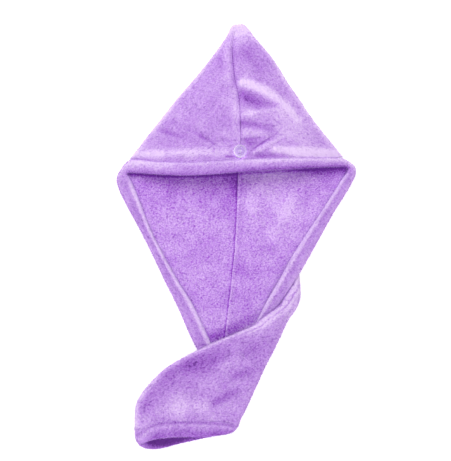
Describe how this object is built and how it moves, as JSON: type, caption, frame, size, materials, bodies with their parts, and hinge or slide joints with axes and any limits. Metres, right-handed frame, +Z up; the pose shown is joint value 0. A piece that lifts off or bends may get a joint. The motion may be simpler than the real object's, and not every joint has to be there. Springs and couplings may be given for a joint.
{
  "type": "hair turban towel",
  "caption": "Pale purple fleece hair turban towel lying flat: pointed hood, hemmed face opening, clear button and a twisted flat tail.",
  "frame": {"origin": "on the floor under the middle of the outline of the towel as it lies flat", "axes": "+Z up from the floor, +Y towards the pointed tip of the hood, +X towards the right corner as seen from above"},
  "size_m": [0.3599, 0.6398, 0.0282],
  "materials": {
    "fleece": "matte",
    "fleece_hem": "matte",
    "clear_button": "gloss"
  },
  "bodies": {
    "root": {"left_panel": "fleece", "right_panel": "fleece", "face_hem": "fleece_hem", "tail_hem": "fleece_hem", "button": "clear_button"}
  },
  "joints": []
}
